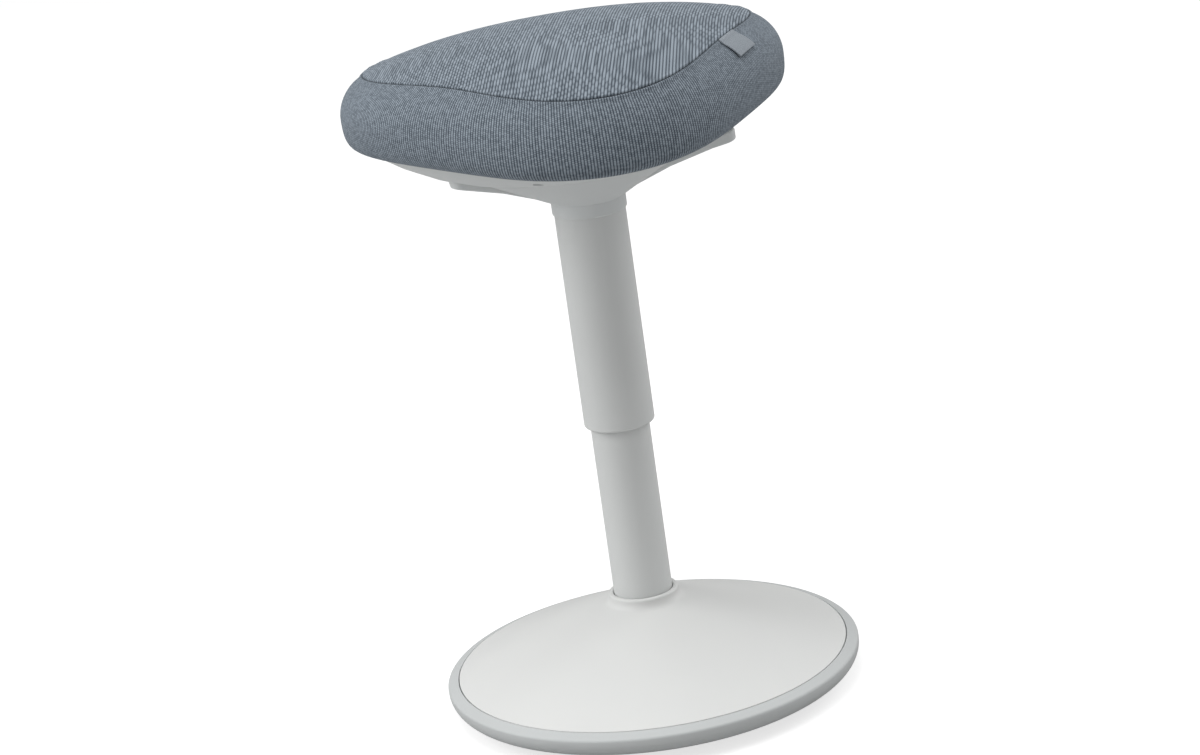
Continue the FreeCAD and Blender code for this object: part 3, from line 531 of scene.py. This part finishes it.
def upper_ring(angles, turn):
    """Part of a larger oval from the bulge up to the seam."""
    inward = (1 - math.cos(turn)) / (1 - math.cos(SEAM_TURN))
    upward = math.sin(turn) / math.sin(SEAM_TURN)
    bulge = series(BULGE_HEIGHT, angles)
    height = bulge + (series(SEAM_HEIGHT, angles) - bulge) * upward
    return plan_point(angles, series(SEAM_INSET, angles) * inward, height)


def crown_ring(angles, share):
    """Ring on the domed top panel."""
    drop = SEAT_CROWN - series(SEAM_HEIGHT, angles)
    height = SEAT_CROWN - drop * share**CROWN_POWER
    return plan_point(angles, series(SEAM_INSET, angles), height, share)


def cushion_rows():
    angles = 2 * np.pi * np.arange(ROUND) / ROUND
    rows = [under_ring(angles, share) for share in np.linspace(0, 1, UNDER_ROWS + 1)[:-1]]
    rows += [lower_ring(angles, t) for t in np.linspace(0, math.pi / 2, LOWER_ROWS)]
    rows += [upper_ring(angles, t) for t in np.linspace(0, SEAM_TURN, UPPER_ROWS)[1:]]
    rows += [crown_ring(angles, s) for s in np.linspace(1, 0, CROWN_ROWS)[1:]]
    return np.array(rows)


def grid_faces(rows, count):
    """Quads between rows of points, a fan to the top point and a flat bottom."""
    faces = []
    for r in range(rows - 2):
        for k in range(count):
            after = (k + 1) % count
            faces.append(
                (r * count + k, r * count + after, (r + 1) * count + after, (r + 1) * count + k)
            )
    pole = (rows - 1) * count
    for k in range(count):
        faces.append(((rows - 2) * count + k, (rows - 2) * count + (k + 1) % count, pole))
    for k in range(count):
        faces.append(((k + 1) % count, k, pole + 1))
    return faces


def linked_mesh(name, points, faces):
    mesh = bpy.data.meshes.new(name)
    mesh.from_pydata([tuple(point) for point in points], [], faces)
    mesh.update()
    for polygon in mesh.polygons:
        polygon.use_smooth = True
    obj = bpy.data.objects.new(name, mesh)
    bpy.context.scene.collection.objects.link(obj)
    return obj


def closed_points(rows):
    """All points of the rows, whose last row is one point, and the middle of the bottom."""
    width = rows.shape[-1]
    middle = rows[0].mean(0, keepdims=True)
    return np.concatenate([rows[:-1].reshape(-1, width), rows[-1].mean(0, keepdims=True), middle])


def row_normals(rows):
    round_step = np.roll(rows, -1, 1) - np.roll(rows, 1, 1)
    up_step = np.gradient(rows, axis=0)
    normals = np.cross(round_step, up_step)
    length = np.linalg.norm(normals, axis=-1, keepdims=True)
    normals = normals / np.maximum(length, 1e-12)
    normals[-1] = (0, 0, 1)
    return normals


def held_distance(rows):
    """How far each point is, along its meridian, from the nearest sewn edge."""
    run = np.linalg.norm(np.diff(rows, axis=0), axis=-1)
    place = np.concatenate([np.zeros((1, rows.shape[1])), np.cumsum(run, axis=0)])
    from_seam = np.abs(place - place[SEAM_ROW])
    from_edge = np.abs(place - place[UNDER_ROWS])
    return np.minimum(from_seam, from_edge)


def held_points(total, count):
    held = np.zeros(total, bool)
    held[: (UNDER_ROWS + 1) * count] = True
    held[-1] = True
    held[SEAM_ROW * count : (SEAM_ROW + 1) * count] = True
    return held


def cover_blank(start, faces, held):
    """The cover as cloth under pressure, pinned along its sewn edges."""
    obj = linked_mesh("cover_blank", start, faces)
    group = obj.vertex_groups.new(name="sewn_edges")
    group.add([int(k) for k in np.flatnonzero(held)], 1.0, "REPLACE")
    cloth = obj.modifiers.new("fill", "CLOTH")
    for name, value in CLOTH.items():
        setattr(cloth.settings, name, value)
    cloth.settings.vertex_group_mass = group.name
    cloth.settings.effector_weights.gravity = 0
    cloth.point_cache.frame_start = 1
    cloth.point_cache.frame_end = LAST_FRAME
    return obj


def settled_points(obj):
    """Steps the cloth to its last frame, applies it and gives the points that it came to."""
    scene = bpy.context.scene
    for step in range(1, LAST_FRAME + 1):
        scene.frame_set(step)
    bpy.ops.object.select_all(action="DESELECT")
    obj.select_set(True)
    bpy.context.view_layer.objects.active = obj
    bpy.ops.object.modifier_apply(modifier=obj.modifiers[0].name)
    scene.frame_set(1)
    moved = np.array([vertex.co[:] for vertex in obj.data.vertices])
    bpy.data.objects.remove(obj)
    return moved


def blown_up(rows):
    """The cover sewn a little small and pushed out by the foam."""
    count = rows.shape[1]
    target = closed_points(rows)
    away = closed_points(row_normals(rows))
    held = held_points(len(target), count)
    start = target - SLACK * away * ~held[:, None]
    faces = grid_faces(len(rows), count)
    offset = settled_points(cover_blank(start, faces, held)) - target
    # The panels swell in their middle and draw in at their edges, about the cut form
    outward = (offset * away).sum(1)
    fade = 1 - np.exp(-closed_points(held_distance(rows)[:, :, None]) / HELD_FADE)[:, 0]
    free = fade * ~held
    outward_mean = (outward * free).sum() / (free * free).sum()
    offset -= (outward_mean * free)[:, None] * away
    size = np.linalg.norm(offset, axis=1, keepdims=True)
    offset = offset * np.minimum(1.0, SWELL_LIMIT / np.maximum(size, 1e-9))
    swollen = rows.copy()
    swollen[:-1] += offset[:-2].reshape(rows.shape[0] - 1, count, 3)
    swollen[-1] += offset[-2]
    return swollen


# Map of the knit: distances across and along the ribs, measured on the cushion


def spread_distance(points, faces, directions):
    """For each point a distance that grows by one metre per metre along its direction."""
    pairs = set()
    for face in faces:
        for first, second in zip(face, face[1:] + face[:1]):
            pairs.add((min(first, second), max(first, second)))
    first, second = np.array(sorted(pairs)).T
    step = points[second] - points[first]
    wanted = ((directions[first] + directions[second]) / 2 * step).sum(1)
    count = len(points)

    def gathered(values):
        return np.bincount(second, values, count) - np.bincount(first, values, count)

    known = gathered(wanted)
    found = np.zeros(count)
    left = known - gathered(found[second] - found[first])
    ahead = left.copy()
    power = left @ left
    for _ in range(SOLVER_STEPS):
        pulled = gathered(ahead[second] - ahead[first])
        share = power / max(ahead @ pulled, 1e-30)
        found += share * ahead
        left -= share * pulled
        fresh = left @ left
        if fresh < SOLVED:
            break
        ahead = left + fresh / power * ahead
        power = fresh
    return found - found.mean()


def knit_map(rows):
    points = closed_points(rows)
    normals = closed_points(row_normals(rows))
    normals[-1] = (0, 0, -1)
    across = np.array(
        [
            math.cos(RIB_TILT) * math.cos(RIB_TURN),
            math.cos(RIB_TILT) * math.sin(RIB_TURN),
            math.sin(RIB_TILT),
        ]
    )
    lying = across - (normals @ across)[:, None] * normals
    size = np.linalg.norm(lying, axis=1, keepdims=True)
    lying = lying / np.maximum(size, FLAT_LIMIT)
    beside = np.cross(normals, lying)
    faces = grid_faces(len(rows), rows.shape[1])
    maps = [spread_distance(points, faces, way) for way in (lying, beside)]
    spread = np.stack(maps, -1)
    grid = spread[:-2].reshape(rows.shape[0] - 1, rows.shape[1], 2)
    pole = np.broadcast_to(spread[-2], (1, rows.shape[1], 2))
    return np.concatenate([grid, pole])


# Finer rows, seam and puckers


def smooth_between(before, start, end, after, share):
    """Cubic through start and end whose slopes come from their neighbours."""
    slope_start = (end - before) / 2
    slope_end = (after - start) / 2
    square = share * share
    cube = square * share
    return (
        (2 * cube - 3 * square + 1) * start
        + (cube - 2 * square + share) * slope_start
        + (3 * square - 2 * cube) * end
        + (cube - square) * slope_end
    )


def finer_round(rows, times):
    parts = []
    for step in range(times):
        parts.append(
            smooth_between(
                np.roll(rows, 1, 1), rows, np.roll(rows, -1, 1), np.roll(rows, -2, 1), step / times
            )
        )
    stacked = np.stack(parts, 2)
    return stacked.reshape(rows.shape[0], -1, rows.shape[2])


def rows_at(panel, places):
    """Rows of one panel at broken row numbers, with a free end at both edges."""
    last = len(panel) - 1
    padded = np.concatenate([2 * panel[:1] - panel[1:2], panel, 2 * panel[-1:] - panel[-2:-1]])
    found = []
    for place in places:
        row = min(int(place), last - 1)
        found.append(smooth_between(*padded[row : row + 4], place - row))
    return np.array(found)


def row_places(panel, from_seam):
    """Row numbers at an even fine step, closer together beside the seam."""
    spacing = np.linalg.norm(np.diff(panel[:, :, :3], axis=0), axis=-1).mean(1)
    distance = np.concatenate([[0], np.cumsum(spacing)])
    near = [step * MM for step in NEAR_SEAM]
    far = np.arange(near[-1] + FAR_START, distance[-1] - FAR_END, FINE_STEP)
    wanted = np.concatenate([[0], near, far, [distance[-1]]])
    if not from_seam:
        wanted = (distance[-1] - wanted)[::-1]
    return np.interp(wanted, distance, np.arange(len(panel))), wanted


def irregular(angles, orders):
    return sum(np.cos(order * angles + shift) for order, shift in orders) / len(orders)


def sewn(rows):
    """Two panels at a fine pitch, drawn in along the seam where they are sewn together, with a
    band of painted shade along the seam.
    """
    wide = finer_round(rows, FINER)
    side, crown = wide[: SEAM_ROW + 1], wide[SEAM_ROW:]
    side_places, side_run = row_places(side, False)
    crown_places, crown_run = row_places(crown, True)
    crown_rows = rows_at(crown, crown_places)
    crown_rows[-1] = wide[-1]
    fine = np.concatenate([rows_at(side, side_places), crown_rows[1:]])
    away = np.concatenate([side_run[-1] - side_run, crown_run[1:]])[:, None]
    angles = (2 * np.pi * np.arange(fine.shape[1]) / fine.shape[1])[None, :]
    groove = -SEAM_DEPTH * np.exp(-((away / SEAM_WIDTH) ** 2))
    shoulder = SHOULDER * np.exp(-(((away - SHOULDER_AT) / SHOULDER_WIDTH) ** 2))
    gather = GATHER * np.cos(GATHERS * angles) * np.exp(-away / GATHER_REACH)
    slow = irregular(angles, SLOW_WAVES)
    pucker = PUCKER * slow * np.exp(-away / PUCKER_REACH) * (1 - np.exp(-away / SHOULDER_AT))
    push = groove + shoulder * (1 + SHOULDER_CHANGE * slow) + gather + pucker
    normals = row_normals(fine[:, :, :3])
    fine[:, :, :3] += push[:, :, None] * normals
    fine[-1] = fine[-1].mean(0)
    # Painted shade along the seam line, laid where the groove's shadow falls
    seam_shade = np.exp(-((away / SEAM_SHADE_WIDTH) ** 2)) + 0 * angles
    return np.concatenate([fine, seam_shade[:, :, None]], -1), len(side_run) - 1


def lay_map(obj, spread):
    layer = obj.data.uv_layers.new(name="weave")
    for loop in obj.data.loops:
        layer.data[loop.index].uv = spread[loop.vertex_index]


def lay_band_map(cushion, band):
    """The band is one strip: its ribs stand upright and count up once round the seat."""
    closed = np.concatenate([band, band[:, :1]], 1)
    middle = closed[len(closed) // 2]
    round_run = np.linalg.norm(np.diff(middle, axis=0), axis=-1)
    around = np.concatenate([[0], np.cumsum(round_run)])
    ribs = 2 * round(around[-1] / RIB_PITCH / 2)
    around *= ribs * RIB_PITCH / around[-1]
    down_run = np.linalg.norm(np.diff(closed, axis=0), axis=-1).mean(1)
    upward = np.concatenate([[0], np.cumsum(down_run)])
    low, high = upward[:-1, None], upward[1:, None]
    first, after = around[None, :-1], around[None, 1:]
    level = 0 * low * first
    corners = [(first, low), (after, low), (after, high), (first, high)]
    spread = [np.stack([across + level, along + level], -1) for across, along in corners]
    flat = np.stack(spread, 2).reshape(-1)
    layer = cushion.data.uv_layers["weave"]
    whole = np.empty(2 * len(layer.data))
    layer.data.foreach_get("uv", whole)
    whole[: len(flat)] = flat
    layer.data.foreach_set("uv", whole)


def seat_cushion():
    rows = cushion_rows()
    rows = blown_up(rows)
    fine, seam = sewn(np.concatenate([rows, knit_map(rows)], -1))
    points = closed_points(fine)
    cushion = linked_mesh("seat_cushion", points[:, :3], grid_faces(*fine.shape[:2]))
    lay_map(cushion, points[:, 3:5])
    lay_band_map(cushion, fine[: seam + 1, :, :3])
    # The painted seam shade goes to the knit as a point attribute
    seam_shade = cushion.data.attributes.new("seam_shade", "FLOAT", "POINT")
    seam_shade.data.foreach_set("value", points[:, 5].astype(np.float32))
    cushion.data.materials.append(MATERIALS["seat_fabric"])
    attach(cushion, "carriage")
    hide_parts("cover_top", "cover_side", "seat_foam")
    return fine[:, :, :3], seam


def ribbon_loop(down, out, below, sideways):
    """Section of the folded ribbon: down its outer side, round the fold and back up."""
    outer = []
    inner = []
    for share in np.linspace(0, 1, TAB_ROWS + 1):
        reach = TAB_LENGTH * share
        point = np.array([np.interp(reach, below, down[:, k]) for k in range(3)])
        normal = np.array([np.interp(reach, below, out[:, k]) for k in range(3)])
        lift = TAB_NEAR + TAB_LIFT * share**TAB_CURL * (1 - TAB_SLANT * sideways)
        outer.append(point + normal * (lift + TAB_THICKNESS))
        inner.append(point + normal * lift)
    onward = outer[-1] - outer[-2]
    onward /= np.linalg.norm(onward)
    middle = (outer[-1] + inner[-1]) / 2
    half = (outer[-1] - inner[-1]) / 2
    fold = []
    for step in range(1, TAB_FOLD):
        turn = math.pi * step / TAB_FOLD
        past = onward * TAB_THICKNESS / 2 * math.sin(turn)
        fold.append(middle + half * math.cos(turn) + past)
    return outer + fold + inner[::-1]


def ribbon_faces(width, length):
    """Quads along the ribbon and one face at each of its cut sides."""
    faces = []
    for i in range(width - 1):
        near, far = i * length, (i + 1) * length
        for k in range(length):
            after = (k + 1) % length
            faces.append((near + k, far + k, far + after, near + after))
    faces.append(tuple(range(length)))
    faces.append(tuple(range((width - 1) * length, width * length))[::-1])
    return faces


def seam_tab(surface, seam):
    """Ribbon folded on itself and sewn into the seam, lying on the side band."""
    count = surface.shape[1]
    first, last = (round(angle / 360 * count) for angle in TAB_ANGLES)
    normals = row_normals(surface)
    run = np.linalg.norm(np.diff(surface[: seam + 1, first], axis=0), axis=-1)
    below = np.concatenate([[0], np.cumsum(run[::-1])])
    loops = []
    for column in range(first, last + 1):
        sideways = (column - first) / (last - first)
        down = surface[seam::-1, column]
        loops.append(ribbon_loop(down, normals[seam::-1, column], below, sideways))
    grid = np.array(loops)
    width, length = grid.shape[:2]
    tab = linked_mesh("seam_tab", grid.reshape(-1, 3), ribbon_faces(width, length))
    tab.data.polygons[-1].use_smooth = False
    tab.data.polygons[-2].use_smooth = False
    side_step = np.linalg.norm(grid[1, 0] - grid[0, 0])
    along = np.linalg.norm(np.diff(grid[0], axis=0), axis=-1)
    along = np.concatenate([[0], np.cumsum(along)])
    spread = [(i * side_step, along[k]) for i in range(width) for k in range(length)]
    lay_map(tab, spread)
    tab.data.materials.append(MATERIALS["label_textile"])
    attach(tab, "carriage")
    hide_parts("label_tab")


seam_tab(*seat_cushion())

slots = {part["node"]: part["material_slot"] for part in frame["record"]["subparts"]}
for node, obj in frame["nodes"].items():
    obj.data.materials.clear()
    obj.data.materials.append(MATERIALS[slots[node]])

def camera_from_photo():
    camera = bpy.data.objects.new("camera", bpy.data.cameras.new("camera"))
    bpy.context.scene.collection.objects.link(camera)
    forward = Vector(
        (
            math.sin(CAMERA_YAW) * math.cos(CAMERA_PITCH),
            math.cos(CAMERA_YAW) * math.cos(CAMERA_PITCH),
            -math.sin(CAMERA_PITCH),
        )
    )
    level = Vector((math.cos(CAMERA_YAW), -math.sin(CAMERA_YAW), 0))
    upward = level.cross(forward)
    right = math.cos(CAMERA_ROLL) * level + math.sin(CAMERA_ROLL) * upward
    top = math.cos(CAMERA_ROLL) * upward - math.sin(CAMERA_ROLL) * level
    turn = Matrix((right, top, -forward)).transposed().to_4x4()
    place = Matrix.Translation((0, -CAMERA_DISTANCE, CAMERA_HEIGHT))
    camera.matrix_world = Matrix.Rotation(CAMERA_ROUND, 4, "Z") @ place @ turn
    camera.data.lens = CAMERA_LENS
    camera.data.sensor_width = CAMERA_SENSOR
    camera.data.clip_end = CAMERA_REACH
    bpy.context.scene.camera = camera


def lamp(name, place, aim, power):
    light = bpy.data.lights.new(name, "AREA")
    light.shape = "DISK"
    light.size = LAMP_SIZE
    light.energy = power
    obj = bpy.data.objects.new(name, light)
    bpy.context.scene.collection.objects.link(obj)
    obj.location = place
    obj.rotation_euler = (Vector(aim) - Vector(place)).to_track_quat("-Z", "Y").to_euler()


def studio_light():
    scene = bpy.context.scene
    scene.view_settings.view_transform = "Standard"
    world = bpy.data.worlds.new("studio")
    scene.world = world
    world.use_nodes = True
    tree = world.node_tree
    tree.nodes.clear()
    path = add(tree, "ShaderNodeLightPath")
    strength = add(
        tree,
        "ShaderNodeMapRange",
        {"Value": path.outputs["Is Camera Ray"], "To Min": WORLD_LEVEL, "To Max": 1.0},
    )
    light = add(
        tree, "ShaderNodeBackground", {"Color": (1, 1, 1, 1), "Strength": strength.outputs[0]}
    )
    add(tree, "ShaderNodeOutputWorld", {"Surface": light.outputs[0]})
    for name, place, aim, power in LAMPS:
        lamp(name, place, aim, power)


def studio_floor():
    """Pale paper that takes a shadow and shows white to the camera."""
    bpy.ops.mesh.primitive_plane_add(size=FLOOR_SIDE, location=(0, 0, FLOOR_HEIGHT))
    floor = bpy.context.object
    floor.name = "floor"
    material, tree = new_material("studio_paper")
    paper = add(tree, "ShaderNodeBsdfDiffuse", {"Color": FLOOR_TONE})
    path = add(tree, "ShaderNodeLightPath")
    level = add(
        tree,
        "ShaderNodeMath",
        {0: path.outputs["Is Camera Ray"], 1: FLOOR_LEVEL},
        operation="MULTIPLY",
    )
    glow = add(tree, "ShaderNodeEmission", {"Color": (1, 1, 1, 1), "Strength": level})
    both = add(tree, "ShaderNodeAddShader", {0: paper, 1: glow})
    close_material(tree, both)
    floor.data.materials.append(material)


camera_from_photo()
studio_light()
studio_floor()
